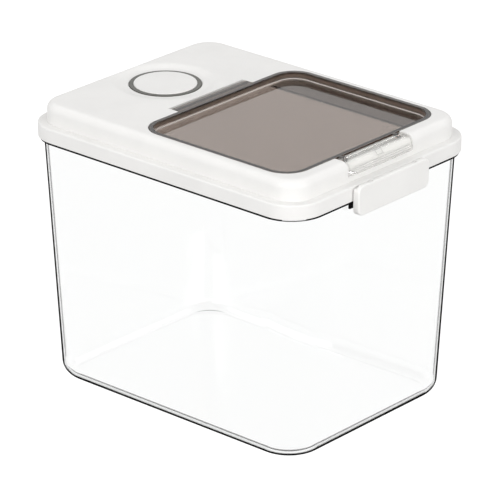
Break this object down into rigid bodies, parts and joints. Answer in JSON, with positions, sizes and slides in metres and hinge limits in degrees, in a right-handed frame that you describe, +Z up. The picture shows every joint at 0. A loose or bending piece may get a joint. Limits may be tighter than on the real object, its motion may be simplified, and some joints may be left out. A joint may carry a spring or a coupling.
{
  "type": "food storage bin",
  "caption": "Clear rectangular food bin with a clasped white lid, a smoky flip door with a clear latch tab, and a round moisture absorber pot set in the lid.",
  "frame": {"origin": "on the resting plane, under the middle of the bin", "axes": "+Z up, -Y to the front with the latch, X across the bin"},
  "size_m": [0.23, 0.3168, 0.251],
  "materials": {
    "clear_plastic": "polished clear moulding",
    "white_plastic": "satin moulded white",
    "smoky_plastic": "polished smoky grey, see-through",
    "grey_plastic": "matte dark grey",
    "silicone": "soft translucent white",
    "steel": "drawn wire"
  },
  "bodies": {
    "tub": {"container": "clear_plastic"},
    "lid": {"lid_shell": "white_plastic", "lid_gasket": "silicone", "door_gasket": "silicone", "door_hinge_pin": "steel", "front_clasp_pin": "steel", "rear_clasp_pin": "steel"},
    "door": {"door_panel": "smoky_plastic", "latch_pin": "steel"},
    "latch": {"door_latch": "clear_plastic"},
    "front_clasp_body": {"front_clasp": "white_plastic"},
    "rear_clasp_body": {"rear_clasp": "white_plastic"},
    "pot": {"absorber_pot": "grey_plastic", "absorber_seal": "silicone"},
    "cap": {"absorber_cap": "white_plastic"}
  },
  "joints": [
    {"name": "lid_lift", "type": "slide", "parent": "tub", "child": "lid", "axis": [0, 0, 1], "range_m": [0, 0.12]},
    {"name": "door_swing", "type": "hinge", "parent": "lid", "child": "door", "pos_m": [0, 0.044, 0.2485], "axis": [-1, 0, 0], "range_deg": [0, 110]},
    {"name": "latch_swing", "type": "hinge", "parent": "door", "child": "latch", "pos_m": [0, -0.1322, 0.2484], "axis": [-1, 0, 0], "range_deg": [0, 75]},
    {"name": "front_clasp_swing", "type": "hinge", "parent": "lid", "child": "front_clasp_body", "pos_m": [0, -0.1548, 0.2319], "axis": [-1, 0, 0], "range_deg": [0, 100]},
    {"name": "rear_clasp_swing", "type": "hinge", "parent": "lid", "child": "rear_clasp_body", "pos_m": [0, 0.1548, 0.2319], "axis": [1, 0, 0], "range_deg": [0, 100]},
    {"name": "pot_lift", "type": "slide", "parent": "lid", "child": "pot", "axis": [0, 0, 1], "range_m": [0, 0.04]},
    {"name": "cap_twist", "type": "hinge", "parent": "pot", "child": "cap", "pos_m": [0, 0.0945, 0.248], "axis": [0, 0, 1], "range_deg": [0, 50]}
  ]
}
